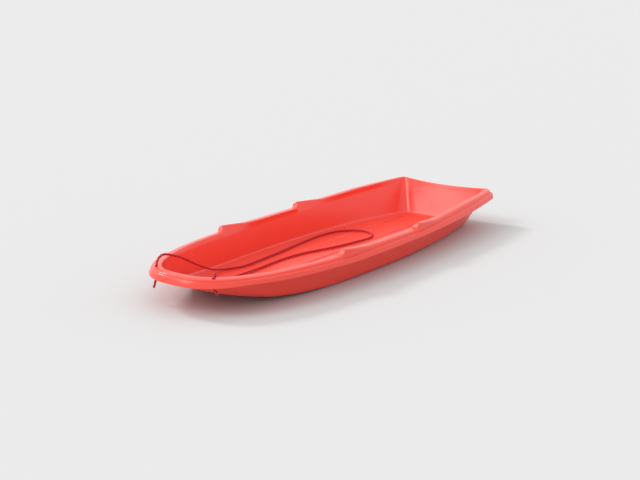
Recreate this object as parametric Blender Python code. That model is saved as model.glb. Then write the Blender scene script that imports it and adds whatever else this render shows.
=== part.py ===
"""A one-piece moulded plastic snow sled with a knotted tow rope, in metres, +Z up, nose towards -Y."""

import bpy
import bmesh
import numpy as np
from mathutils import Vector

# Outline of the rim, measured along its crest.
CREST_LENGTH = 1.183
CREST_HALF_WIDTH = 0.201
REAR_HALF_WIDTH = 0.1485
WIDEST_AT = 0.5264
NOSE_POWER = 2.41
NOSE_ROUNDING = 0.3493
REAR_TAPER_POWER = 2.13
TRANSOM_BOW = 0.018
CORNER_ROUND = 0.013
CORNER_ROWS = 6
CORNER_GAP = 0.0045
NOSE_Y = -0.5842
REAR_Y = NOSE_Y + CREST_LENGTH

# Floor: a flat sheet on three runners, curving up towards the nose.
SHEET = 0.003
RUNNER_DEPTH = 0.003
FLOOR_TOP = RUNNER_DEPTH + SHEET
SCOOP_START_Y = -0.1615
SCOOP_SQUARE = 0.20
SCOOP_FOURTH = 0.62

# Walls: straight and leaning out, with a fillet at the foot. The sides lean out more towards the transom.
WALL_RUN = 0.028
REAR_WALL_EXTRA = 0.014
WALL_FILLET = 0.018
NOSE_RUN = 0.030
NOSE_FILLET = 0.040
TRANSOM_RUN = 0.060
FOOT_CORNER_ROUND = 0.022
FOOT_BOW = 0.002

# Rim section: how far each edge stands out from the crest. It stands out less at nose and transom.
NOSE_FLANGE_EXTRA = 0.008
ROLL_OUT = 0.0095
SHOULDER_OUT = 0.0160
NOSE_SHOULDER_OUT = 0.0115
BAND_OUT = 0.0190
REAR_SHARE = 6 / 19
NOSE_BLEND = 0.12
RIM_SHEET = 0.0028

# Two saw-tooth steps a side, and the heights of the rim's lines, as (y, z) pairs.
STEP_1_Y = -0.2042
STEP_2_Y = 0.1216
STEP_HALF = 0.009
CREST_LINE = (
    (NOSE_Y, 0.0905),
    (-0.437, 0.0867),
    (STEP_1_Y - STEP_HALF, 0.0848),
    (STEP_1_Y + STEP_HALF, 0.0995),
    (STEP_1_Y + 0.050, 0.0940),
    (STEP_1_Y + 0.100, 0.0885),
    (0.0, 0.0878),
    (STEP_2_Y - STEP_HALF, 0.0868),
    (STEP_2_Y + STEP_HALF, 0.1015),
    (STEP_2_Y + 0.040, 0.0980),
    (STEP_2_Y + 0.110, 0.0922),
    (STEP_2_Y + 0.190, 0.0948),
    (STEP_2_Y + 0.270, 0.0985),
    (REAR_Y, 0.1006),
)
BEVEL_LINE = (
    (NOSE_Y, 0.0030),
    (STEP_1_Y - STEP_HALF, 0.0055),
    (STEP_1_Y + STEP_HALF, 0.0018),
    (STEP_1_Y + 0.050, 0.0050),
    (STEP_1_Y + 0.120, 0.0068),
    (STEP_2_Y - STEP_HALF, 0.0040),
    (STEP_2_Y + STEP_HALF, 0.0018),
    (STEP_2_Y + 0.120, 0.0072),
    (STEP_2_Y + 0.260, 0.0090),
    (REAR_Y, 0.0045),
)
SHOULDER_LINE = (
    (NOSE_Y, 0.0842),
    (-0.3935, 0.0795),
    (STEP_1_Y, 0.0762),
    (0.0065, 0.0780),
    (STEP_2_Y, 0.0780),
    (0.2565, 0.0820),
    (REAR_Y, 0.0925),
)
BAND_FOOT_LINE = (
    (NOSE_Y, 0.0690),
    (-0.4935, 0.0715),
    (-0.3935, 0.0670),
    (-0.1735, 0.0625),
    (0.1600, 0.0655),
    (0.3500, 0.0690),
    (REAR_Y, 0.0770),
)
INSET_LINE = (
    (NOSE_Y, 0.0),
    (-0.40, 0.004),
    (STEP_1_Y - STEP_HALF, 0.008),
    (STEP_1_Y + STEP_HALF, 0.001),
    (STEP_1_Y + 0.050, 0.004),
    (STEP_1_Y + 0.100, 0.010),
    (STEP_2_Y - STEP_HALF, 0.013),
    (STEP_2_Y + STEP_HALF, 0.001),
    (STEP_2_Y + 0.045, 0.003),
    (STEP_2_Y + 0.110, 0.010),
    (0.45, 0.012),
    (REAR_Y, 0.003),
)
TRANSOM_DIP = 0.003

# Three runners, each with a narrow groove above it, from these y places back.
RUNNER_XS = (-0.0828, 0.0, 0.0828)
RUNNER_WIDTH = 0.010
RUNNER_FRONT_Y = -0.160
RUNNER_REAR_Y = 0.500
RUNNER_RAMP = 0.030
GROOVE_WIDTH = 0.0042
GROOVE_FLOOR_Z = 0.0026
GROOVE_FRONT_YS = (-0.010, -0.133, -0.010)
GROOVE_REAR_Y = 0.505
GROOVE_RAMP = 0.060

# Rope holes in the nose flange, and the knots hanging in the hollow under it.
HOLE_RADIUS = 0.0048
HOLE_X = 0.0893
HOLE_Y = -0.5590
KNOT_RADII = (0.0075, 0.0070, 0.0062)
KNOT_X = 0.0908
KNOT_Y = -0.5607
KNOT_Z = 0.0752

# Route of the rope's middle, from above the left knot round the inside and back to the right one.
ROPE_RADIUS = 0.003
ROPE_ROUTE = (
    (-0.0893, -0.5590, 0.0824),
    (-0.0893, -0.5588, 0.0900),
    (-0.0896, -0.5560, 0.0985),
    (-0.0901, -0.5490, 0.1070),
    (-0.0910, -0.5395, 0.1106),
    (-0.0926, -0.5252, 0.1102),
    (-0.0965, -0.4934, 0.1000),
    (-0.1006, -0.4610, 0.0872),
    (-0.1047, -0.4284, 0.0702),
    (-0.1094, -0.3907, 0.0507),
    (-0.1145, -0.3500, 0.0318),
    (-0.1185, -0.3150, 0.0195),
    (-0.1190, -0.2850, 0.0134),
    (-0.1116, -0.2550, 0.0114),
    (-0.1040, -0.2200, 0.0102),
    (-0.1088, -0.1493, 0.0094),
    (-0.1160, -0.0555, 0.0094),
    (-0.1290, 0.0509, 0.0094),
    (-0.1350, 0.1480, 0.0094),
    (-0.1254, 0.2109, 0.0094),
    (-0.1011, 0.2474, 0.0094),
    (-0.0700, 0.2640, 0.0094),
    (-0.0430, 0.2610, 0.0094),
    (-0.0200, 0.2420, 0.0094),
    (-0.0080, 0.2096, 0.0094),
    (-0.0147, 0.1492, 0.0094),
    (-0.0290, 0.0736, 0.0094),
    (-0.0470, 0.0123, 0.0094),
    (-0.0606, -0.0399, 0.0094),
    (-0.0665, -0.1182, 0.0094),
    (-0.0600, -0.2100, 0.0102),
    (-0.0440, -0.3350, 0.0175),
    (-0.0020, -0.4280, 0.0370),
    (0.0480, -0.5020, 0.0660),
    (0.0700, -0.5325, 0.0880),
    (0.0790, -0.5448, 0.0958),
    (0.0822, -0.5493, 0.0972),
    (0.0859, -0.5542, 0.0956),
    (0.0888, -0.5583, 0.0902),
    (0.0893, -0.5590, 0.0824),
)
ROPE_STEPS = 2
TAIL_LEFT_ROUTE = (
    (-0.0909, -0.5610, 0.0682),
    (-0.0903, -0.5612, 0.0560),
    (-0.0935, -0.5610, 0.0440),
    (-0.0985, -0.5605, 0.0345),
)
TAIL_RIGHT_ROUTE = (
    (0.0918, -0.5614, 0.0668),
    (0.0947, -0.5630, 0.0635),
    (0.1015, -0.5645, 0.0595),
    (0.1090, -0.5655, 0.0560),
)
TAIL_STEPS = 3

HULL_RED = (0.84, 0.13, 0.11)
ROPE_RED = (0.42, 0.02, 0.03)


def clear_scene():
    for obj in list(bpy.data.objects):
        bpy.data.objects.remove(obj, do_unlink=True)


def make_material(name, color, roughness):
    material = bpy.data.materials.new(name)
    material.use_nodes = True
    shader = material.node_tree.nodes["Principled BSDF"]
    shader.inputs["Base Color"].default_value = (*color, 1.0)
    shader.inputs["Roughness"].default_value = roughness
    shader.inputs["Metallic"].default_value = 0.0
    return material


def mesh_object(name, vertices, faces, material=None):
    mesh = bpy.data.meshes.new(name)
    mesh.from_pydata([tuple(v) for v in vertices], [], faces)
    mesh.validate()
    if material is not None:
        mesh.materials.append(material)
    obj = bpy.data.objects.new(name, mesh)
    bpy.context.scene.collection.objects.link(obj)
    return obj


def read_line(line, y):
    """Height of a rim line at y, straight between its points."""
    ys, zs = zip(*line)
    return np.interp(y, ys, zs)


def floor_z(y):
    """Top of the floor: flat, then a scoop that steepens towards the nose."""
    ahead = np.clip(SCOOP_START_Y - y, 0, None)
    return FLOOR_TOP + SCOOP_SQUARE * ahead**2 + SCOOP_FOURTH * ahead**4


def side_stations():
    """Shares of the length, closer together at the nose, and a pair at each step of the rim."""
    nose = 0.12 * (np.arange(15) / 14) ** 2
    side = np.linspace(0.16, 0.985, 17)
    step_shares = [
        (y + shift - NOSE_Y) / CREST_LENGTH
        for y in (STEP_1_Y, STEP_2_Y)
        for shift in (-STEP_HALF, STEP_HALF)
    ]
    apart = [t for t in side if min(abs(t - s) for s in step_shares) > 0.012]
    return np.sort(np.concatenate([nose, apart, step_shares]))


def half_loop(side_out=0.0, nose_out=0.0, rear_out=0.0, corner_round=CORNER_ROUND, rear_in=0.0,
              bow=TRANSOM_BOW):
    """Right half of the outline, nose centre to transom centre, moved out by these amounts, as (x, y) rows."""
    half_width = REAR_HALF_WIDTH + side_out - rear_in

    def transom_y(x):
        return rear - bow * (1 - (x / half_width) ** 2)

    rear = REAR_Y + rear_out
    front = NOSE_Y - nose_out
    last = 1 - (corner_round + CORNER_GAP) / (rear - front)
    share = side_stations() * last / side_stations()[-1]
    rounding = (1 - np.clip(1 - share / WIDEST_AT, 0, 1) ** NOSE_POWER) ** NOSE_ROUNDING
    taper = np.clip((share - WIDEST_AT) / (1 - WIDEST_AT), 0, 1) ** REAR_TAPER_POWER
    x = (CREST_HALF_WIDTH + side_out) * rounding - (CREST_HALF_WIDTH - REAR_HALF_WIDTH + rear_in) * taper
    side = np.stack([x, front + share * (rear - front)], 1)
    corner = np.array([half_width, rear])
    along = (corner - side[-1]) / np.linalg.norm(corner - side[-1])
    leave = corner - along * corner_round
    rear_x = half_width - corner_round
    arrive = np.array([rear_x, transom_y(rear_x)])
    s = np.linspace(0, 1, CORNER_ROWS)[:, None]
    arc = (1 - s) ** 2 * leave + 2 * s * (1 - s) * corner + s**2 * arrive
    across = np.linspace(rear_x, 0, 8)[1:]
    transom = np.stack([across, transom_y(across)], 1)
    return np.concatenate([side, arc, transom])


def foot_outline(side_in=0.0, nose_in=0.0):
    """Right half of the line round the foot of the walls, moved in by these amounts."""
    return half_loop(-WALL_RUN - side_in, -NOSE_RUN - nose_in, -TRANSOM_RUN - side_in, FOOT_CORNER_ROUND,
                     REAR_WALL_EXTRA, FOOT_BOW)


def flange_loop(out, nose_out=None):
    """The crest's outline moved out along its own normals, less at the nose and at the transom."""
    if nose_out is None:
        nose_out = out
    crest = half_loop()
    ahead = np.roll(crest, -1, axis=0)
    behind = np.roll(crest, 1, axis=0)
    ahead[-1] = crest[-2] * (-1, 1)
    behind[0] = crest[1] * (-1, 1)
    along = ahead - behind
    normal = np.stack([along[:, 1], -along[:, 0]], 1) / np.linalg.norm(along, axis=1)[:, None]
    side_count = len(side_stations())
    blend = np.clip(side_stations() / NOSE_BLEND, 0, 1)
    turned = np.linspace(0, 1, CORNER_ROWS)
    reach = np.array(np.broadcast_to(out, len(crest)))
    reach[:side_count] = nose_out + (reach[:side_count] - nose_out) * blend**2 * (3 - 2 * blend)
    reach[side_count:side_count + CORNER_ROWS] *= REAR_SHARE + (1 - REAR_SHARE) * (1 - turned) ** 2
    reach[side_count + CORNER_ROWS:] *= REAR_SHARE
    return crest + normal * reach[:, None]


def raised(loop, z):
    return np.column_stack([loop, np.broadcast_to(z, len(loop))])


def curve_rows(start, corner, end, steps):
    """Rows of a quadratic curve from start, pulled towards corner, to end, without its two ends."""
    rows = []
    for i in range(1, steps):
        s = i / steps
        rows.append((1 - s) ** 2 * start + 2 * s * (1 - s) * corner + s**2 * end)
    return rows


def wall_rows(top, foot, flat):
    """Rows from the floor up a filleted wall, leaving out its top row."""
    lean = top - foot
    height = np.linalg.norm(lean, axis=1)
    nearness = np.clip(1 - (foot[:, 1] - NOSE_Y) / 0.16, 0, 1) ** 0.5
    fillet = WALL_FILLET + (NOSE_FILLET - WALL_FILLET) * nearness
    share = np.clip(fillet / height, 0, 0.8)[:, None]
    start = foot + lean * share
    middle = (start + top) / 2
    return [flat, *curve_rows(flat, foot, start, 5), start, middle]


def rim_lines():
    """Heights at each station of the crest, the roll's outer edge, the shoulder and the band's foot."""
    loop = half_loop()
    y = loop[:, 1]
    transom = len(side_stations())
    y[transom:] = REAR_Y
    crest = read_line(CREST_LINE, y)
    dip = np.zeros(len(y))
    dip[transom:] = TRANSOM_DIP * (1 - (loop[transom:, 0] / REAR_HALF_WIDTH) ** 2)
    crest = crest - np.clip(dip, 0, None)
    roll = crest - read_line(BEVEL_LINE, y)
    shoulder = read_line(SHOULDER_LINE, y) - np.clip(dip, 0, None)
    band_foot = read_line(BAND_FOOT_LINE, y)
    return crest, roll, shoulder, band_foot


def hull_rows():
    """Half rows of the shell, from the inner floor up over the rim and down to the underside."""
    crest, roll, shoulder, band_foot = rim_lines()
    extra = NOSE_FLANGE_EXTRA
    nose_shoulder = NOSE_SHOULDER_OUT

    lip = half_loop(0.0, -extra, 0.0) - half_loop()
    inset = read_line(INSET_LINE, half_loop()[:, 1])
    top = raised(flange_loop(-inset - 0.0014, -0.0014) + lip, crest - 0.0030)
    foot_loop = foot_outline()
    flat_loop = foot_outline(WALL_FILLET, NOSE_FILLET)
    foot = raised(foot_loop, floor_z(foot_loop[:, 1]))
    flat = raised(flat_loop, floor_z(flat_loop[:, 1]))
    inside = wall_rows(top, foot, flat)

    rim = [
        top,
        raised(flange_loop(-inset, 0.0) + lip, crest - 0.0008),
        raised(half_loop(0.0014, 0.0020 - extra, 0.0012), crest),
        raised(flange_loop(ROLL_OUT - 0.0022), roll),
        raised(flange_loop(ROLL_OUT - 0.0004), roll - 0.0013),
        raised(flange_loop(ROLL_OUT), shoulder + 0.0004),
        raised(flange_loop(SHOULDER_OUT, nose_shoulder), shoulder),
        raised(flange_loop(SHOULDER_OUT + 0.0016, nose_shoulder + 0.0012), shoulder - 0.0016),
        raised(flange_loop(BAND_OUT), band_foot + 0.0010),
        raised(flange_loop(BAND_OUT - 0.0010), band_foot),
        raised(flange_loop(BAND_OUT - RIM_SHEET), band_foot + 0.0004),
        raised(flange_loop(SHOULDER_OUT - 0.0014, nose_shoulder - 0.0014), shoulder - RIM_SHEET - 0.0006),
        raised(flange_loop(ROLL_OUT - RIM_SHEET), shoulder - RIM_SHEET),
        raised(flange_loop(ROLL_OUT - RIM_SHEET - 0.0006), np.maximum(roll - 0.0044, shoulder - 0.0024)),
    ]

    outer_top = raised(flange_loop(0.0022 - inset, 0.0022) + lip, crest - 0.0060)
    outer_foot_loop = foot_outline(-0.0020, -0.0020)
    outer_foot = raised(outer_foot_loop, floor_z(outer_foot_loop[:, 1]) - SHEET)
    outer_flat = raised(flat_loop, floor_z(flat_loop[:, 1]) - SHEET)
    outside = [outer_top, *reversed(wall_rows(outer_top, outer_foot, outer_flat))]
    return [*inside, *rim, *outside]


def whole_loop(half):
    """The half row and its mirror image, as one closed row."""
    mirrored = half[1:-1][::-1] * np.array([-1, 1, 1])
    return np.concatenate([half, mirrored])


def sheet_faces(start, half_count, flip):
    """Strips across the floor between matching stations, and one face that takes in the transom's edge."""
    loop_count = 2 * half_count - 2
    side_count = len(side_stations())

    def right(i):
        return start + i

    def left(i):
        return start + (loop_count - i) % loop_count

    faces = [[right(0), right(1), left(1)]]
    for i in range(1, side_count - 1):
        faces.append([right(i), right(i + 1), left(i + 1), left(i)])
    rear = [right(i) for i in range(side_count - 1, half_count)]
    rear += [left(i) for i in range(half_count - 2, side_count - 2, -1)]
    faces.append(rear)
    return [face[::-1] for face in faces] if flip else faces


def make_shell(name, material):
    rows = [whole_loop(half) for half in hull_rows()]
    half_count = len(half_loop())
    count = len(rows[0])
    vertices = np.concatenate(rows)
    faces = []
    for r in range(len(rows) - 1):
        for i in range(count):
            j = (i + 1) % count
            low, high = r * count, (r + 1) * count
            faces.append([low + i, low + j, high + j, high + i])
    faces += sheet_faces(0, half_count, False)
    faces += sheet_faces((len(rows) - 1) * count, half_count, True)
    shell = mesh_object(name, vertices, faces, material)
    face_outwards(shell.data)
    return shell


def face_outwards(mesh):
    work = bmesh.new()
    work.from_mesh(mesh)
    bmesh.ops.recalc_face_normals(work, faces=work.faces)
    work.to_mesh(mesh)
    work.free()


def ramped_bar(name, x, width, front, rear, ramp, low, high, ramp_low):
    """A long bar whose underside ramps up at both ends, from low in the middle to ramp_low at the tips."""
    ys = (front, front + ramp, rear - ramp / 2, rear)
    lows = (ramp_low, low, low, ramp_low)
    vertices = []
    for y, z in zip(ys, lows):
        for side in (-width / 2, width / 2):
            vertices.append((x + side, y, z))
            vertices.append((x + side, y, high))
    faces = [[0, 1, 3, 2], [12, 14, 15, 13]]
    for i in range(0, 12, 4):
        faces.append([i, i + 4, i + 5, i + 1])
        faces.append([i + 2, i + 3, i + 7, i + 6])
        faces.append([i, i + 2, i + 6, i + 4])
        faces.append([i + 1, i + 5, i + 7, i + 3])
    bar = mesh_object(name, vertices, faces)
    face_outwards(bar.data)
    return bar


def joined(name, bars):
    """One helper mesh out of several bars that don't touch."""
    work = bmesh.new()
    for bar in bars:
        work.from_mesh(bar.data)
        bpy.data.objects.remove(bar, do_unlink=True)
    mesh = bpy.data.meshes.new(name)
    work.to_mesh(mesh)
    work.free()
    helper = bpy.data.objects.new(name, mesh)
    bpy.context.scene.collection.objects.link(helper)
    helper.hide_render = True
    helper.display_type = "WIRE"
    return helper


def make_runners():
    bars = [
        ramped_bar(f"runner_{i}", x, RUNNER_WIDTH, RUNNER_FRONT_Y, RUNNER_REAR_Y, RUNNER_RAMP, 0.0,
                   RUNNER_DEPTH + SHEET / 2, RUNNER_DEPTH + SHEET / 4)
        for i, x in enumerate(RUNNER_XS)
    ]
    return joined("runner_bars", bars)


def make_grooves():
    bars = [
        ramped_bar(f"groove_{i}", x, GROOVE_WIDTH, front, GROOVE_REAR_Y, GROOVE_RAMP,
                   GROOVE_FLOOR_Z, FLOOR_TOP + 0.004, FLOOR_TOP + 0.0005)
        for i, (x, front) in enumerate(zip(RUNNER_XS, GROOVE_FRONT_YS))
    ]
    return joined("groove_bars", bars)


def make_hole_cutter():
    work = bmesh.new()
    for side in (-1, 1):
        place = Vector((side * HOLE_X, HOLE_Y, 0.088))
        made = bmesh.ops.create_cone(work, cap_ends=True, segments=20, radius1=HOLE_RADIUS,
                                     radius2=HOLE_RADIUS, depth=0.024)
        bmesh.ops.translate(work, verts=made["verts"], vec=place)
    mesh = bpy.data.meshes.new("rope_hole_pins")
    work.to_mesh(mesh)
    work.free()
    cutter = bpy.data.objects.new("rope_hole_pins", mesh)
    bpy.context.scene.collection.objects.link(cutter)
    cutter.hide_render = True
    cutter.display_type = "WIRE"
    return cutter


def add_boolean(obj, tool, operation):
    modifier = obj.modifiers.new(tool.name, "BOOLEAN")
    modifier.operation = operation
    modifier.object = tool
    modifier.solver = "EXACT"


def make_hull():
    hull = make_shell("hull", make_material("hull_plastic", HULL_RED, 0.38))
    add_boolean(hull, make_runners(), "UNION")
    add_boolean(hull, make_grooves(), "DIFFERENCE")
    add_boolean(hull, make_hole_cutter(), "DIFFERENCE")
    hull.data.shade_smooth()
    hull.data.set_sharp_from_angle(angle=0.6)
    return hull


def smooth_route(route, steps):
    """Points of a smooth curve that passes through every point of the route."""
    route = [Vector(point) for point in route]
    before = [route[0] * 2 - route[1], *route[:-1]]
    after = [*route[1:], route[-1] * 2 - route[-2]]
    points = []
    for i in range(len(route) - 1):
        leave = (after[i] - before[i]).normalized() * (route[i + 1] - route[i]).length
        arrive = (after[i + 1] - before[i + 1]).normalized() * (route[i + 1] - route[i]).length
        for j in range(steps):
            s = j / steps
            points.append(
                route[i] * (2 * s**3 - 3 * s**2 + 1)
                + leave * (s**3 - 2 * s**2 + s)
                + route[i + 1] * (3 * s**2 - 2 * s**3)
                + arrive * (s**3 - s**2)
            )
    return [*points, route[-1]]


def make_cord(name, route, steps, material):
    points = smooth_route(route, steps)
    curve = bpy.data.curves.new(name, "CURVE")
    curve.dimensions = "3D"
    curve.bevel_depth = ROPE_RADIUS
    curve.bevel_resolution = 2
    curve.use_fill_caps = True
    spline = curve.splines.new("POLY")
    spline.points.add(len(points) - 1)
    for point, place in zip(spline.points, points):
        point.co = (*place, 1.0)
    curve.materials.append(material)
    cord = bpy.data.objects.new(name, curve)
    bpy.context.scene.collection.objects.link(cord)
    return cord


def make_knot(name, side, material):
    """A knot as one rounded lump in the hollow under the flange."""
    work = bmesh.new()
    bmesh.ops.create_uvsphere(work, u_segments=20, v_segments=12, radius=1.0)
    bmesh.ops.scale(work, verts=work.verts, vec=KNOT_RADII)
    bmesh.ops.translate(work, verts=work.verts, vec=(side * KNOT_X, KNOT_Y, KNOT_Z))
    mesh = bpy.data.meshes.new(name)
    work.to_mesh(mesh)
    work.free()
    mesh.materials.append(material)
    mesh.shade_smooth()
    knot = bpy.data.objects.new(name, mesh)
    bpy.context.scene.collection.objects.link(knot)
    return knot


def make_rope():
    rope = make_material("rope_fibre", ROPE_RED, 0.85)
    make_cord("tow_rope", ROPE_ROUTE, ROPE_STEPS, rope)
    make_knot("knot_left", -1, rope)
    make_knot("knot_right", 1, rope)
    make_cord("rope_tail_left", TAIL_LEFT_ROUTE, TAIL_STEPS, rope)
    make_cord("rope_tail_right", TAIL_RIGHT_ROUTE, TAIL_STEPS, rope)


def main():
    clear_scene()
    make_hull()
    make_rope()


main()
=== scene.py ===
# moulded plastic snow sled with its tow rope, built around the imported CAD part, in metres
import math
import bmesh
import bpy
import numpy as np
from mathutils import Matrix, Vector


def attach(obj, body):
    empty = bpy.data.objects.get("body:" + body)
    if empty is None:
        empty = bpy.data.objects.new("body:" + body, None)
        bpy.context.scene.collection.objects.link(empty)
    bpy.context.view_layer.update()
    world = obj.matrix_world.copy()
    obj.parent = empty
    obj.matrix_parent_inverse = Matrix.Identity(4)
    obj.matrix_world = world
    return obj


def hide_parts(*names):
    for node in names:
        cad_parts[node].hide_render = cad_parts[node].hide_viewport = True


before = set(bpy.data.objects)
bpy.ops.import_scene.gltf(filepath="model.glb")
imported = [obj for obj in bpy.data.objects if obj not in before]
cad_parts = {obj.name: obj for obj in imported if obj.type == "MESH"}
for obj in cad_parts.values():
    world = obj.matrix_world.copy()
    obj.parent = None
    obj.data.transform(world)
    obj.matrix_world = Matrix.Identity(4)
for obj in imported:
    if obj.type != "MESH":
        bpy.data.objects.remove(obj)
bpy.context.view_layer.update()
print("frame loaded:", sorted(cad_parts))


# camera: three-quarter view of the +x side, from in front of the nose and a little above
view = {
    "azimuth": 36.39,            # degrees round from straight ahead of the nose
    "elevation": 14.74,
    "distance": 3.5015,
    "target": (0.0270, -0.0508, 0.0622),
    "lens": 75.56,
    "shiftX": -0.00625,
    "shiftY": 0.0008,
}


def makeCamera():
    az, el = math.radians(view["azimuth"]), math.radians(view["elevation"])
    back = Vector((math.sin(az) * math.cos(el), -math.cos(az) * math.cos(el), math.sin(el)))
    right = Vector((math.cos(az), math.sin(az), 0.0))
    turn = Matrix((right, back.cross(right), back)).transposed().to_4x4()
    data = bpy.data.cameras.new("camera")
    data.lens = view["lens"]
    data.sensor_width = 36
    data.shift_x = view["shiftX"]
    data.shift_y = view["shiftY"]
    data.clip_end = 100
    camera = bpy.data.objects.new("camera", data)
    bpy.context.scene.collection.objects.link(camera)
    camera.matrix_world = Matrix.Translation(Vector(view["target"]) + view["distance"] * back) @ turn
    bpy.context.scene.camera = camera


makeCamera()
print("camera set")


# small helpers for meshes and nodes
def linearColour(hexText, alpha=1.0):
    # sRGB hex to linear: c/12.92 below 0.04045, else ((c + 0.055) / 1.055) ^ 2.4
    c = np.array([int(hexText[i:i + 2], 16) for i in (1, 3, 5)]) / 255
    c = np.where(c <= 0.04045, c / 12.92, ((c + 0.055) / 1.055) ** 2.4)
    return (*[float(v) for v in c], alpha)


def addNode(tree, kind, links=(), **settings):
    # one node with its settings: a key that is a socket's name sets that socket, any other the node itself;
    # links are (socket to fill, node it comes from, that node's output)
    node = tree.nodes.new(kind)
    for key, value in settings.items():
        socket = node.inputs.get(key.replace("_", " "))
        if socket is None:
            setattr(node, key, value)
        else:
            socket.default_value = value
    for socket, source, output in links:
        tree.links.new(source.outputs[output], node.inputs[socket])
    return node


def meshObject(name, points, faces, uv=None):
    # points is (n, 3), faces a list of arrays of equal-length rows of point numbers, uv one (u, v) a corner
    mesh = bpy.data.meshes.new(name)
    corners = np.concatenate([f.ravel() for f in faces])
    sizes = np.concatenate([np.full(len(f), f.shape[1]) for f in faces])
    mesh.vertices.add(len(points))
    mesh.vertices.foreach_set("co", points.astype(np.float32).ravel())
    mesh.loops.add(len(corners))
    mesh.loops.foreach_set("vertex_index", corners.astype(np.int32))
    mesh.polygons.add(len(sizes))
    mesh.polygons.foreach_set("loop_start", np.concatenate([[0], np.cumsum(sizes)[:-1]]).astype(np.int32))
    if uv is not None:
        layer = mesh.uv_layers.new(name="UVMap")
        layer.data.foreach_set("uv", uv.astype(np.float32).ravel())
    mesh.update(calc_edges=True)
    mesh.validate()
    mesh.shade_smooth()
    obj = bpy.data.objects.new(name, mesh)
    bpy.context.scene.collection.objects.link(obj)
    return obj


def gridFaces(rows, columns, first=0, wrap=False):
    # quads between neighbouring rows of a grid numbered row by row, joined end to end when it wraps
    i, j = np.meshgrid(np.arange(rows - 1), np.arange(columns if wrap else columns - 1), indexing="ij")
    k = (j + 1) % columns
    return first + np.stack([i * columns + j, i * columns + k, (i + 1) * columns + k,
                             (i + 1) * columns + j], -1).reshape(-1, 4)


# rope: three strands twisted into a 6 mm cord, lying in the sled, a knot under each end
rope = {
    "radius": 0.0031,
    "lay": 0.0350,               # length of one full turn of the strands
    "groove": 0.40,              # depth of the grooves between strands, as a share of the radius
    "step": 0.0011,              # between rings of points
    "around": 27,                # points in a ring
    "length": 1.82,              # from hole to hole
    "route": (
        (-0.0893, -0.5590, 0.0824), (-0.0893, -0.5588, 0.0900), (-0.0896, -0.5560, 0.0985),
        (-0.0901, -0.5490, 0.1070), (-0.0910, -0.5395, 0.1106), (-0.0926, -0.5252, 0.1102),
        (-0.0965, -0.4934, 0.1000), (-0.1006, -0.4610, 0.0872), (-0.1047, -0.4284, 0.0702),
        (-0.1094, -0.3907, 0.0507), (-0.1145, -0.3500, 0.0318), (-0.1185, -0.3150, 0.0195),
        (-0.1190, -0.2850, 0.0134), (-0.1116, -0.2550, 0.0114), (-0.1040, -0.2200, 0.0102),
        (-0.1088, -0.1493, 0.0094), (-0.1160, -0.0555, 0.0094), (-0.1290, 0.0509, 0.0094),
        (-0.1350, 0.1480, 0.0094), (-0.1254, 0.2109, 0.0094), (-0.1011, 0.2474, 0.0094),
        (-0.0700, 0.2640, 0.0094), (-0.0430, 0.2610, 0.0094), (-0.0200, 0.2420, 0.0094),
        (-0.0080, 0.2096, 0.0094), (-0.0147, 0.1492, 0.0094), (-0.0290, 0.0736, 0.0094),
        (-0.0470, 0.0123, 0.0094), (-0.0606, -0.0399, 0.0094), (-0.0665, -0.1182, 0.0094),
        (-0.0600, -0.2100, 0.0102), (-0.0440, -0.3350, 0.0175), (-0.0020, -0.4280, 0.0370),
        (0.0480, -0.5020, 0.0660), (0.0700, -0.5325, 0.0880), (0.0790, -0.5448, 0.0958),
        (0.0822, -0.5493, 0.0972), (0.0859, -0.5542, 0.0956), (0.0888, -0.5583, 0.0902),
        (0.0893, -0.5590, 0.0824),
    ),
    "knotLeft": (-0.0908, -0.5607, 0.0752),
    "knotRight": (0.0908, -0.5607, 0.0752),
    "knotSize": (0.375, 0.375, 0.058),   # stretch of the knot's curve, in rope diameters
    "knotOverlap": 0.0030,       # how far up into the rope's end each knot starts
    "roundTip": 0.0025,
    "tailLeft": ((-0.0903, -0.5612, 0.0600), (-0.0925, -0.5612, 0.0500), (-0.0955, -0.5608, 0.0420),
                 (-0.0985, -0.5605, 0.0345)),
    "tailRight": ((0.0940, -0.5632, 0.0645), (0.0985, -0.5640, 0.0612), (0.1040, -0.5650, 0.0585),
                  (0.1090, -0.5655, 0.0560)),
}


def smoothCurve(route, step):
    # cubic through every point, tangent at each along its two neighbours, then points one step apart
    p = np.array(route, float)
    before = np.vstack([2 * p[0] - p[1], p[:-1]])
    after = np.vstack([p[1:], 2 * p[-1] - p[-2]])
    tangent = after - before
    tangent /= np.linalg.norm(tangent, axis=1)[:, None]
    span = np.linalg.norm(np.diff(p, axis=0), axis=1)[:, None]
    s = np.linspace(0, 1, 24, endpoint=False)[:, None, None]
    curve = (p[:-1] * (2 * s**3 - 3 * s**2 + 1) + tangent[:-1] * span * (s**3 - 2 * s**2 + s)
             + p[1:] * (3 * s**2 - 2 * s**3) + tangent[1:] * span * (s**3 - s**2))
    curve = np.vstack([curve.transpose(1, 0, 2).reshape(-1, 3), p[-1]])
    run = np.concatenate([[0], np.cumsum(np.linalg.norm(np.diff(curve, axis=0), axis=1))])
    at = np.linspace(0, run[-1], max(8, int(run[-1] / step)))
    return np.stack([np.interp(at, run, curve[:, k]) for k in range(3)], 1), at


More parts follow.
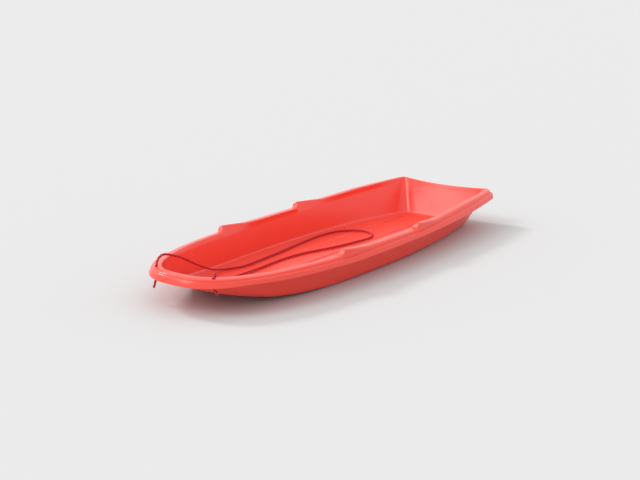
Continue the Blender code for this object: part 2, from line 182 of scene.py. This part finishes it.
def strandTube(name, route, sideways, roundEnd=0.0):
    # radius = R (1 - groove |phi / 60 deg| ^ 2.2), phi the angle from the nearest strand, turning once a lay
    centre, at = smoothCurve(route, rope["step"])
    along = np.gradient(centre, at, axis=0)
    along /= np.linalg.norm(along, axis=1)[:, None]
    across = np.cross(along, np.array(sideways, float))
    across /= np.linalg.norm(across, axis=1)[:, None]
    third = np.cross(along, across)
    count = rope["around"]
    angle = np.arange(count) / count * 2 * math.pi
    twist = angle[None, :] - 2 * math.pi * at[:, None] / rope["lay"]
    phi = (twist * 3 / (2 * math.pi)) % 1.0 - 0.5
    radius = rope["radius"] * (1 - rope["groove"] * np.abs(2 * phi) ** 2.2)
    if roundEnd:
        left = np.clip((at[-1] - at) / roundEnd, 0.02, 1)
        radius = radius * np.sqrt(1 - (1 - left) ** 2)[:, None]
    ring = across[:, None, :] * np.cos(angle)[:, None] + third[:, None, :] * np.sin(angle)[:, None]
    points = (centre[:, None, :] + ring * radius[:, :, None]).reshape(-1, 3)
    sides = gridFaces(len(at), count, wrap=True)
    end = np.arange(count)
    caps = np.stack([end[::-1], end + (len(at) - 1) * count])
    i = np.repeat(np.arange(len(at) - 1), count)
    j = np.tile(end, len(at) - 1)
    u0, u1 = at[i], at[i + 1]
    v0, v1 = j / count, (j + 1) / count
    uv = np.stack([u0, v0, u0, v1, u1, v1, u1, v0], 1).reshape(-1, 2)
    uv = np.vstack([uv, np.zeros((2 * count, 2))])
    return meshObject(name, points, [sides, caps], uv), centre


def overhandKnot(middle, side):
    # long overhand knot: x = t^3 - 3t, y = t^4 - 4t^2, z = t^5 - 10t, for t from -2 to 2, squeezed tight
    t = np.linspace(-2, 2, 15)
    size = np.array(rope["knotSize"]) * 2 * rope["radius"]
    x, y, z = t**3 - 3 * t, t**4 - 4 * t**2 + 2, -(t**5 - 10 * t)
    return np.stack([side * x * size[0], -y * size[1], z * size[2]], 1) + np.array(middle)


def makeRope():
    cord, centre = strandTube("towRope", rope["route"], (1, 0, -1))
    knots = []
    for name, side, middle, tail, holeEnd in (
        ("knotLeft", -1, rope["knotLeft"], rope["tailLeft"], rope["route"][0]),
        ("knotRight", 1, rope["knotRight"], rope["tailRight"], rope["route"][-1]),
    ):
        start = np.array(holeEnd) + (0, 0, rope["knotOverlap"])
        route = np.vstack([start, overhandKnot(middle, side), np.array(tail)])
        knot, _ = strandTube(name, route, (0.31, 0.93, 0.19), roundEnd=rope["roundTip"])
        knots.append(knot)
    for piece, nodes in ((cord, ["tow_rope"]), (knots[0], ["knot_left", "rope_tail_left"]),
                         (knots[1], ["knot_right", "rope_tail_right"])):
        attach(piece, "root")
        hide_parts(*nodes)
    return [cord, *knots]


ropePieces = makeRope()
print("rope laid:", len(ropePieces), "pieces")


# hull: one moulded sheet, worked out as a section carried round the outline of the rim
hull = {
    "length": 1.183,             # nose to transom along the inner edge of the rim
    "halfWidth": 0.201,
    "rearHalfWidth": 0.1485,
    "noseY": -0.5842,
    "widestAt": 0.5264,          # share of the length
    "nosePower": 2.41,
    "noseRounding": 0.3493,
    "rearPower": 2.13,
    "transomBow": 0.018,
    "cornerRound": 0.016,
    "cornerGap": 0.0015,         # left between the last station on a side and the corner's curve
    "footCornerRound": 0.022,
    "footBow": 0.002,
    "rearWallExtra": 0.014,      # how much further in the side walls' foot stands at the transom
    "sheet": 0.003,
    "floorTop": 0.006,
    "scoopStart": -0.1615,
    "scoopSquare": 0.20,
    "scoopFourth": 0.62,
    "wallRun": (0.028, 0.030, 0.060),      # how far the foot stands in from the rim: sides, nose, transom
    "wallFillet": 0.006,
    "noseFillet": 0.040,
    "noseInset": 0.0115,         # how far the flange's inner edge stands in from the outline at the nose
    "noseBlend": 0.12,           # share of the length over which the nose's widths ease into the sides'
    "rearShare": 6 / 19,         # share of the flange's width left at the transom
    "rollOut": 0.0095,
    "shoulderOut": 0.0160,
    "noseShoulderOut": 0.0115,
    "bandOut": 0.0190,
    "rimSheet": 0.0028,
    "stepY": (-0.2042, 0.1216),
    "stepHalf": 0.0080,
    "transomDip": 0.003,
    "wallTopInset": ((-0.5842, 0.012), (-0.35, 0.010), (0.40, 0.010), (0.5988, 0.003)),
    "wallTopHeight": ((-0.5842, 0.0905), (-0.20, 0.0860), (0.20, 0.0900), (0.5988, 0.1006)),
    "flareFrom": 0.87,           # share of the wall's height at which it starts to flare out to the rim
    "rollStart": (0.0034, 0.0010),         # how far in from the roll, and down from the crest, the bevel starts
    "shoulderRise": 0.0003,      # kept between roll and shoulder
    "underCrest": (0.0026, 0.0040),        # how far out and down from its inner edge the rim's underside lies
    "underRoll": (0.0030, 0.0004),         # how far it lies below the bevel and above the shoulder's underside
    "underFoot": 0.002,          # how far out the underside's foot lies
    "filletReach": 0.16,         # length over which the nose's wide fillet eases off
    "underFillet": (0.006, 0.004),         # how much more the fillet takes off each side underneath
    "edgeRounds": (0.0060, 0.0026, 0.0030, 0.0016, 0.0010, 0.0014, 0.0010, 0.0010, 0.0010, 0.0008, 0.0008, 0.0020),
    "edgeSteps": (9, 5, 6, 4, 4, 3, 4, 3, 3, 2, 2, 2, 3, 9),
    "sideStations": 220,
    "ribX": 0.0828,
    "rib": {"width": 0.0100, "ease": 0.0030, "front": (-0.16, -0.16), "rear": 0.50, "ramp": 0.030},
    "groove": {"width": 0.0058, "ease": 0.0010, "front": (-0.010, -0.133), "rear": 0.505, "ramp": 0.060},
    "grooveDepth": 0.0046,       # fronts are those of the two side lines, then of the middle one
    "holeRadius": 0.0046,
    "holeAt": (0.0893, -0.5590, 0.0880),
    "holeDepth": 0.024,
}

# lines along the rim as (y, metres) in three stretches, parted by the two steps
rimLines = {
    "crest": (((-0.5842, 0.0905), (-0.437, 0.0868), (-0.20, 0.0848)),
              ((-0.205, 0.1005), (-0.154, 0.0950), (-0.104, 0.0892), (-0.05, 0.0878), (0.13, 0.0868)),
              ((0.12, 0.1022), (0.165, 0.0982), (0.23, 0.0926), (0.31, 0.0948), (0.39, 0.0983), (0.5988, 0.1006))),
    "inset": (((-0.5842, 0.0150), (-0.50, 0.0125), (-0.40, 0.0090), (-0.20, 0.009)),
              ((-0.205, 0.001), (-0.154, 0.004), (-0.104, 0.010), (-0.05, 0.013), (0.13, 0.013)),
              ((0.12, 0.001), (0.165, 0.003), (0.23, 0.010), (0.31, 0.013), (0.45, 0.012), (0.5988, 0.004))),
    "bevel": (((-0.5842, 0.0030), (-0.20, 0.0055)),
              ((-0.205, 0.0018), (-0.154, 0.0050), (-0.084, 0.0068), (0.13, 0.0040)),
              ((0.12, 0.0018), (0.24, 0.0072), (0.38, 0.0090), (0.5988, 0.0045))),
    "shoulder": (((-0.5842, 0.0842), (-0.3935, 0.0795), (-0.2042, 0.0762), (0.0065, 0.0780)),
                 ((-0.3935, 0.0795), (-0.2042, 0.0762), (0.0065, 0.0780), (0.1216, 0.0780), (0.2565, 0.0820)),
                 ((0.0065, 0.0780), (0.1216, 0.0780), (0.2565, 0.0820), (0.5988, 0.0925))),
    "bandFoot": (((-0.5842, 0.0690), (-0.4935, 0.0715), (-0.3935, 0.0670), (-0.1735, 0.0625)),
                 ((-0.3935, 0.0670), (-0.1735, 0.0625), (0.16, 0.0655), (0.35, 0.0690)),
                 ((-0.1735, 0.0625), (0.16, 0.0655), (0.35, 0.0690), (0.5988, 0.0770))),
}


def rimLine(name, y):
    # each stretch is read off its points and evened out over 24 mm; smoothed ramps change from one to the next
    shifts = np.linspace(-0.012, 0.012, 9)[:, None]
    low, middle, high = (np.mean(np.interp(y + shifts, *zip(*part)), axis=0) for part in rimLines[name])
    first, second = (np.clip((y - at) / (2 * hull["stepHalf"]) + 0.5, 0, 1) for at in hull["stepY"])
    first, second = (s**2 * (3 - 2 * s) for s in (first, second))
    return low + (middle - low) * first + (high - middle) * second


def floorHeight(y):
    # 6 mm, plus 0.20 d^2 + 0.62 d^4 for a distance d ahead of where the scoop starts
    ahead = np.clip(hull["scoopStart"] - y, 0, None)
    return hull["floorTop"] + hull["scoopSquare"] * ahead**2 + hull["scoopFourth"] * ahead**4


def crossPlaces():
    # places across the floor from the middle out to 90 mm, close together at the grooves
    near = np.array([-6.5, -5.2, -4.0, -3.0, -2.2, -1.6, -1.0, -0.5,
                     0.0, 0.5, 1.0, 1.6, 2.2, 3.0, 4.0, 5.2]) / 1000
    between = np.linspace(0.013, hull["ribX"] - 0.013, 6)
    return np.concatenate([near[8:], between, hull["ribX"] + near, [0.0890]])


def sideShares():
    # shares of the length, 28 times closer together at the nose and 7 times at the steps than elsewhere
    t = np.linspace(0, 0.985, 4000)
    y = hull["noseY"] + t * hull["length"]
    weight = 1 + 22 * np.exp(-t / 0.012) + 5 * np.exp(-t / 0.05)
    for at in hull["stepY"]:
        weight += 6 * np.exp(-((y - at) / 0.012) ** 2)
    run = np.concatenate([[0], np.cumsum((weight[1:] + weight[:-1]) / 2)])
    return np.interp(np.linspace(0, run[-1], hull["sideStations"]), run, t)


places = crossPlaces()
shares = sideShares()
outerCount = 8


def rearTurns():
    # places round the rear, from corner to middle: first along the corner's curve, then across the transom
    halfWidth = hull["rearHalfWidth"] - hull["rearWallExtra"] - hull["wallRun"][0] - hull["wallFillet"]
    straight = halfWidth - hull["footCornerRound"]
    x = np.concatenate([places[:-1], np.linspace(places[-1], halfWidth, outerCount)])[::-1]
    onCurve = np.sqrt(np.clip(halfWidth - x[x > straight], 0, None) / hull["footCornerRound"])
    return onCurve[1:], x[x <= straight] / straight


turned, acrossShares = rearTurns()


def outline(side=0.0, nose=0.0, rear=0.0, foot=False):
    # half width = W (1 - (1 - t/tm)^2.41)^0.349 ahead of the widest place, less a taper to the power 2.13 behind
    # it, then a quadratic corner and a transom that bows by a parabola; the three amounts move it outwards
    cornerRound, bow, extra = hull["cornerRound"], hull["transomBow"], 0.0
    if foot:
        cornerRound, bow, extra = hull["footCornerRound"], hull["footBow"], hull["rearWallExtra"]
    back, front = hull["noseY"] + hull["length"] + rear, hull["noseY"] - nose
    t = shares * (1 - (cornerRound + hull["cornerGap"]) / (back - front)) / shares[-1]
    rounding = (1 - np.clip(1 - t / hull["widestAt"], 0, 1) ** hull["nosePower"]) ** hull["noseRounding"]
    taper = np.clip((t - hull["widestAt"]) / (1 - hull["widestAt"]), 0, 1) ** hull["rearPower"]
    x = (hull["halfWidth"] + side) * rounding - (hull["halfWidth"] - hull["rearHalfWidth"] + extra) * taper
    sides = np.stack([x, front + t * (back - front)], 1)
    halfWidth = hull["rearHalfWidth"] + side - extra
    corner = np.array([halfWidth, back])
    lean = (corner - sides[-1]) / np.linalg.norm(corner - sides[-1])
    straight = halfWidth - cornerRound

    def transomY(x):
        return back - bow * (1 - (x / halfWidth) ** 2)

    s = turned[:, None]
    bend = ((1 - s) ** 2 * (corner - lean * cornerRound) + 2 * s * (1 - s) * corner
            + s**2 * np.array([straight, transomY(straight)]))
    x = acrossShares * straight
    return np.vstack([sides, bend, np.stack([x, transomY(x)], 1)])


def normals(loop):
    # unit normals of the half outline, with its mirror image beyond both ends
    ahead = np.vstack([loop[1:], loop[-2] * (-1, 1)])
    behind = np.vstack([loop[1] * (-1, 1), loop[:-1]])
    along = ahead - behind
    return np.stack([along[:, 1], -along[:, 0]], 1) / np.linalg.norm(along, axis=1)[:, None]


def reach(side, nose):
    # how far out at each station: eased from the nose's amount to the side's, then down to the transom's share
    count = len(shares)
    side = np.broadcast_to(side, (count + len(turned) + len(acrossShares),)).copy()
    ease = np.clip(shares / hull["noseBlend"], 0, 1)
    side[:count] = nose + (side[:count] - nose) * ease**2 * (3 - 2 * ease)
    share = hull["rearShare"]
    side[count:count + len(turned)] *= share + (1 - share) * (1 - turned) ** 2
    side[count + len(turned):] *= share
    return side[:, None]


def roundedSection(keys, trims, steps):
    # a corner becomes the quadratic a (1-s)^2 + 2 b s (1-s) + c s^2, whose ends stand a trim away from it;
    # a trim is (size before, size after, most of the side before, most of the side after)
    rows = [keys[0]]
    for k, (before, after, mostBefore, mostAfter) in enumerate(trims, 1):
        back, on = keys[k - 1] - keys[k], keys[k + 1] - keys[k]
        backLength, onLength = (np.linalg.norm(v, axis=1)[:, None] for v in (back, on))
        start = keys[k] + back / backLength * np.minimum(before, backLength * mostBefore)
        end = keys[k] + on / onLength * np.minimum(after, onLength * mostAfter)
        s = np.linspace(0, 1, steps[k - 1] + 1)[:, None, None]
        rows += list((1 - s) ** 2 * start + 2 * s * (1 - s) * keys[k] + s**2 * end)
        if k in (1, len(keys) - 3):
            gap = np.linspace(0, 1, 8)[1:-1, None, None]
            following = keys[k + 1] - on / onLength * np.minimum(trims[k][0], onLength * trims[k][2])
            rows += list(end + (following - end) * gap)
    rows.append(keys[-1])
    return rows


def sectionRows():
    # rows of points round the hull, from the floor's edge up the wall, over the rim, down and back underneath;
    # each corner of the section stands a set amount out from the rim's outline at the height that rimLine gives
    base = outline()
    normal = normals(base)
    y = np.clip(base[:, 1], None, 0.59)
    onTransom = np.arange(len(base)) >= len(shares) + len(turned)
    dip = hull["transomDip"] * np.where(onTransom, 1 - (base[:, 0] / hull["rearHalfWidth"]) ** 2, 0)
    crest = rimLine("crest", y) - dip
    roll = crest - rimLine("bevel", y)
    shoulder, foot = rimLine("shoulder", y) - dip, rimLine("bandFoot", y)
    run, thin, fillet = hull["wallRun"], hull["rimSheet"], hull["wallFillet"]
    rollOut, shoulderOut, noseOut, bandOut = (
        hull[key] for key in ("rollOut", "shoulderOut", "noseShoulderOut", "bandOut"))

    def at(loop, z):
        return np.column_stack([loop, np.broadcast_to(z, len(loop))])

    def beyond(side, nose=None):
        return base + normal * reach(side, side if nose is None else nose)

    inner = base - normal * reach(rimLine("inset", y), hull["noseInset"])
    footLoop = outline(-run[0], -run[1], -run[2], foot=True)
    flatLoop = outline(-run[0] - fillet, -run[1] - hull["noseFillet"], -run[2] - fillet, foot=True)
    outerFoot = outline(*(hull["underFoot"] - amount for amount in run), foot=True)
    footPoints = at(footLoop, floorHeight(footLoop[:, 1]))
    evenInset = np.interp(y, *zip(*hull["wallTopInset"]))
    evenCrest = np.interp(y, *zip(*hull["wallTopHeight"])) - dip
    smoothTop = at(base - normal * reach(evenInset, hull["noseInset"]), evenCrest)
    rollIn, rollDown = hull["rollStart"]
    crestOut, crestDown = hull["underCrest"]
    rollUnder, shoulderOver = hull["underRoll"]
    keys = [
        at(flatLoop, floorHeight(flatLoop[:, 1])),
        footPoints,
        footPoints + (smoothTop - footPoints) * hull["flareFrom"],
        at(inner, crest),
        at(beyond(rollOut - rollIn), crest - rollDown),
        at(beyond(rollOut), roll),
        at(beyond(rollOut), shoulder + hull["shoulderRise"]),
        at(beyond(shoulderOut, noseOut), shoulder),
        at(beyond(bandOut), foot),
        at(beyond(bandOut - thin), foot),
        at(beyond(shoulderOut - thin, noseOut - thin), shoulder - thin),
        at(beyond(rollOut - thin), shoulder - thin),
        at(beyond(rollOut - thin), np.maximum(roll - rollUnder, shoulder - thin + shoulderOver)),
        at(inner + normal * crestOut, crest - crestDown),
        at(outerFoot, floorHeight(outerFoot[:, 1]) - hull["sheet"]),
        at(flatLoop, floorHeight(flatLoop[:, 1]) - hull["sheet"]),
    ]
    near = np.clip(1 - (footLoop[:, 1] - hull["noseY"]) / hull["filletReach"], 0, 1) ** 0.5
    wide = (fillet + (hull["noseFillet"] - fillet) * near)[:, None]
    trims = [(wide, wide, 0.98, 0.48)]
    trims += [(size, size, 0.48, 0.48) for size in hull["edgeRounds"]]
    trims.append((wide + hull["underFillet"][0], wide + hull["underFillet"][1], 0.48, 0.9))
    return roundedSection(keys, trims, hull["edgeSteps"])


def ridge(x, y, line):
    # 1 on the three lines x = 0 and x = +-ribX, 0 off them, with smoothed flanks, a ramp in front and a short one
    # behind, each changing by the cubic 3 s^2 - 2 s^3
    height = np.zeros_like(x)
    frontSide, frontMiddle = line["front"]
    for at, front in ((0.0, frontMiddle), (hull["ribX"], frontSide), (-hull["ribX"], frontSide)):
        flank = np.clip((line["width"] / 2 + line["ease"] / 2 - np.abs(x - at)) / line["ease"], 0, 1)
        ends = np.clip((y - front) / line["ramp"], 0, 1)
        ends = ends * np.clip((line["rear"] - y) / (line["ramp"] * 0.12), 0, 1)
        height = np.maximum(height, flank**2 * (3 - 2 * flank) * ends**2 * (3 - 2 * ends))
    return height


def floorPatch(flat, upper):
    # rows across the floor from the nose back, then the rest ruled on to the line round the rear
    count = len(shares)
    halfWidth = flat[1:count, 0][:, None]
    fit = np.minimum(halfWidth / 0.0900, 1)     # the places crowd together where the floor is narrow
    outer = places[-1] * fit + (halfWidth - places[-1] * fit) * np.linspace(0, 1, outerCount)[1:]
    x = np.hstack([places * fit, outer])
    x = np.hstack([x[:, ::-1], -x[:, 1:]])
    y = np.broadcast_to(flat[1:count, 1][:, None], x.shape)
    rear = flat[count - 1:, :2]
    rear = np.vstack([rear, (rear * (-1, 1))[-2::-1]])
    s = np.linspace(0, 1, 12)[1:-1, None]
    x = np.vstack([x, x[-1] + (rear[:, 0] - x[-1]) * s])
    y = np.vstack([y, y[-1] + (rear[:, 1] - y[-1]) * s])
    z = floorHeight(y)
    if upper:
        z = z - hull["grooveDepth"] * ridge(x, y, hull["groove"])
    else:
        z = z - hull["sheet"] * (1 + ridge(x, y, hull["rib"]))
    return np.stack([x, y, z], -1)


def wholeLoop(half):
    # the half loop and its mirror image, without the two points on the middle line twice
    return np.vstack([half, (half * (-1, 1, 1))[-2:0:-1]])


def edgedGrid(grid, loop):
    # the floor's point numbers, with its two side columns and a last row taken from the section loop round it
    count, wide = len(shares), grid.shape[1]
    grid[:count - 1, 0] = loop[1:count]
    grid[:count - 1, -1] = loop[-1:-count:-1]
    grid[count - 1:, 0] = loop[count - 1]
    grid[count - 1:, -1] = loop[-(count - 1)]
    return np.vstack([grid, loop[np.arange(count - 1, count - 1 + wide) % len(loop)]])


def floorFaces(grid, tip):
    # quads between neighbouring rows, triangles where a quad's two points on one side are the same point,
    # and a fan from the first row to the tip of the nose
    quads = np.stack([grid[:-1, :-1], grid[:-1, 1:], grid[1:, 1:], grid[1:, :-1]], -1).reshape(-1, 4)
    same = (quads[:, 0] == quads[:, 3]) | (quads[:, 1] == quads[:, 2])
    thin = quads[same]
    left = thin[:, 0] == thin[:, 3]
    triangles = np.where(left[:, None], thin[:, [0, 1, 2]], thin[:, [0, 1, 3]])
    fan = np.stack([np.full(grid.shape[1] - 1, tip), grid[0, 1:], grid[0, :-1]], 1)
    return quads[~same], np.vstack([triangles, fan])


def makeHull():
    rows = sectionRows()
    loops = np.stack([wholeLoop(row) for row in rows])
    around = loops.shape[1]
    points, faces = [loops.reshape(-1, 3)], [gridFaces(len(rows), around, wrap=True)]
    total = len(rows) * around
    for row, upper in ((0, True), (len(rows) - 1, False)):
        patch = floorPatch(rows[row], upper)
        tall, wide = patch.shape[:2]
        loop = row * around + np.arange(around)
        grid = edgedGrid(total + np.arange(tall * wide).reshape(tall, wide), loop)
        quads, triangles = floorFaces(grid, loop[0])
        if not upper:
            quads, triangles = quads[:, ::-1], triangles[:, ::-1]
        points.append(patch.reshape(-1, 3))
        faces += [quads, triangles]
        total += tall * wide
    obj = meshObject("sledHull", np.vstack(points), faces)
    tidyMesh(obj)
    boreHoles(obj)
    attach(obj, "root")
    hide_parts("hull")
    return obj


def tidyMesh(obj):
    # drop the points no face uses, then turn every face outwards
    work = bmesh.new()
    work.from_mesh(obj.data)
    bmesh.ops.delete(work, geom=[v for v in work.verts if not v.link_faces], context="VERTS")
    bmesh.ops.recalc_face_normals(work, faces=work.faces)
    work.to_mesh(obj.data)
    work.free()
    obj.data.shade_smooth()


def boreHoles(obj):
    # a round bore straight through the nose flange for each end of the rope
    x, y, z = hull["holeAt"]
    for side in (-1, 1):
        work = bmesh.new()
        bmesh.ops.create_cone(work, cap_ends=True, segments=40, radius1=hull["holeRadius"],
                              radius2=hull["holeRadius"], depth=hull["holeDepth"],
                              matrix=Matrix.Translation((side * x, y, z)))
        data = bpy.data.meshes.new("bore cutter")
        work.to_mesh(data)
        work.free()
        cutter = bpy.data.objects.new("bore cutter", data)
        bpy.context.scene.collection.objects.link(cutter)
        bore = obj.modifiers.new("bore", "BOOLEAN")
        bore.object, bore.operation, bore.solver = cutter, "DIFFERENCE", "EXACT"
        bpy.context.view_layer.update()
        cut = bpy.data.meshes.new_from_object(obj.evaluated_get(bpy.context.evaluated_depsgraph_get()))
        obj.modifiers.clear()
        obj.data = cut
        bpy.data.objects.remove(cutter)


sledHull = makeHull()
print("hull moulded and bored:", len(sledHull.data.vertices), "points")


# materials
plastic = {
    "colour": "#F04536",
    "roughness": (0.19, 0.27),
    "dullPatches": 9.0,          # patches of duller skin a metre, about 11 cm across
    "waves": 32.0,               # shallow waves of the skin a metre, about 3 cm across
    "waveDepth": 0.00004,
}


def moulded(name="moulded high-density polyethylene"):
    # HDPE vacuum formed over a mould, IOR 1.54: a saturated dyed body under a waxy satin skin, so flat parts seen
    # at a slant pick up a pale sheen, and the skin's slight unevenness keeps reflections soft; it has no grain
    material = bpy.data.materials.new(name)
    material.use_nodes = True
    tree = material.node_tree
    shader = tree.nodes["Principled BSDF"]
    shader.inputs["Base Color"].default_value = linearColour(plastic["colour"])
    shader.inputs["IOR"].default_value = 1.54
    where = addNode(tree, "ShaderNodeTexCoord")
    patches = addNode(tree, "ShaderNodeTexNoise", [("Vector", where, "Object")], Scale=plastic["dullPatches"],
                      Detail=1.0)
    satin = addNode(tree, "ShaderNodeMapRange", [("Value", patches, "Fac")], To_Min=plastic["roughness"][0],
                    To_Max=plastic["roughness"][1])
    tree.links.new(satin.outputs["Result"], shader.inputs["Roughness"])
    waves = addNode(tree, "ShaderNodeTexNoise", [("Vector", where, "Object")], Scale=plastic["waves"], Detail=0.0)
    skin = addNode(tree, "ShaderNodeBump", [("Height", waves, "Fac")], Distance=plastic["waveDepth"], Strength=0.5)
    tree.links.new(skin.outputs["Normal"], shader.inputs["Normal"])
    return material


cordColoursAndShade = {
    "crest": "#F21C34",
    # painted shade: a near-black colour laid into the grooves between strands, where shade falls
    "groove": "#30020A",
    "grooveShadeFrom": (0.10, 0.42),  # turns of a strand from its crest at which the painted groove shade starts, and is darkest
    "fibres": 16,                # fibres seen across one strand
    "fibreDepth": 0.00006,
}


def twistedCord(name="twisted polypropylene cord"):
    # laid cord of dyed polypropylene fibres: three strands with shade painted dark down in the grooves between
    # them, with fine fibres running along the strand and a slight plastic gleam; UV is (metres along, turns
    # around)
    material = bpy.data.materials.new(name)
    material.use_nodes = True
    tree = material.node_tree
    shader = tree.nodes["Principled BSDF"]
    shader.inputs["IOR"].default_value = 1.49
    shader.inputs["Roughness"].default_value = 0.55
    where = addNode(tree, "ShaderNodeTexCoord")
    split = addNode(tree, "ShaderNodeSeparateXYZ", [("Vector", where, "UV")])
    turned = addNode(tree, "ShaderNodeMath", [(0, split, "X")], operation="MULTIPLY")
    turned.inputs[1].default_value = -1 / rope["lay"]
    twist = addNode(tree, "ShaderNodeMath", [(0, split, "Y"), (1, turned, "Value")], operation="ADD")
    strand = addNode(tree, "ShaderNodeMath", [(0, twist, "Value")], operation="MULTIPLY")
    strand.inputs[1].default_value = 3.0
    place = addNode(tree, "ShaderNodeMath", [(0, strand, "Value")], operation="FRACT")
    fromCrest = addNode(tree, "ShaderNodeMath", [(0, place, "Value")], operation="SUBTRACT")
    fromCrest.inputs[1].default_value = 0.5
    away = addNode(tree, "ShaderNodeMath", [(0, fromCrest, "Value")], operation="ABSOLUTE")
    # painted shade: mixes the cord's colour towards near-black the further a point lies from a strand's crest
    depth = addNode(tree, "ShaderNodeMapRange", [("Value", away, "Value")], From_Min=cordColoursAndShade["grooveShadeFrom"][0],
                    From_Max=cordColoursAndShade["grooveShadeFrom"][1])
    colour = addNode(tree, "ShaderNodeMix", [("Factor", depth, "Result")], data_type="RGBA")
    colour.inputs["A"].default_value = linearColour(cordColoursAndShade["crest"])
    colour.inputs["B"].default_value = linearColour(cordColoursAndShade["groove"])
    fibres = addNode(tree, "ShaderNodeMath", [(0, strand, "Value")], operation="MULTIPLY")
    fibres.inputs[1].default_value = cordColoursAndShade["fibres"] * 2 * math.pi
    wave = addNode(tree, "ShaderNodeMath", [(0, fibres, "Value")], operation="SINE")
    bump = addNode(tree, "ShaderNodeBump", [("Height", wave, "Value")], Distance=cordColoursAndShade["fibreDepth"],
                   Strength=0.7)
    tree.links.new(colour.outputs["Result"], shader.inputs["Base Color"])
    tree.links.new(bump.outputs["Normal"], shader.inputs["Normal"])
    return material


hullPlastic = moulded()
cordFibre = twistedCord()
sledHull.data.materials.append(hullPlastic)
for piece in ropePieces:
    piece.data.materials.append(cordFibre)
print("materials mixed")


# studio: pale floor, an even sky, a lamp on the -x side that casts the shadow and a softer one in front
studio = {
    "floorColour": "#CBCBCB",
    "floorDrop": 0.0002,         # how far the floor lies under the sled, so that the two don't share a plane
    "floorReach": 30.0,
    "skyStrength": 0.97,
    "lamps": (                   # name, strength, colour, from where, spread in degrees
        ("side lamp", 1.25, "#FFFFFF", (-0.80, -0.04, 0.60), 13),
        ("front lamp", 0.85, "#FFFFFF", (-0.45, -0.60, 0.66), 30),
    ),
}


def makeStudio():
    material = bpy.data.materials.new("matt paper backdrop")
    material.use_nodes = True
    shader = material.node_tree.nodes["Principled BSDF"]
    shader.inputs["Base Color"].default_value = linearColour(studio["floorColour"])
    shader.inputs["Roughness"].default_value = 0.9
    shader.inputs["Specular IOR Level"].default_value = 0.1
    corners = np.array([(-1, -1), (1, -1), (1, 1), (-1, 1)]) * studio["floorReach"]
    floor = meshObject("backdrop", np.column_stack([corners, np.full(4, -studio["floorDrop"])]),
                       [np.array([[0, 1, 2, 3]])])
    floor.data.materials.append(material)
    world = bpy.data.worlds.new("even sky")
    bpy.context.scene.world = world
    world.use_nodes = True
    sky = world.node_tree.nodes["Background"]
    sky.inputs["Color"].default_value = (1.0, 1.0, 1.0, 1.0)
    sky.inputs["Strength"].default_value = studio["skyStrength"]
    for name, strength, colour, fromWhere, spread in studio["lamps"]:
        data = bpy.data.lights.new(name, "SUN")
        data.energy = strength
        data.color = linearColour(colour)[:3]
        data.angle = math.radians(spread)
        lamp = bpy.data.objects.new(name, data)
        bpy.context.scene.collection.objects.link(lamp)
        lamp.rotation_euler = Vector(fromWhere).to_track_quat("Z", "Y").to_euler()
    bpy.context.scene.view_settings.view_transform = "Standard"


makeStudio()
print("studio lit")
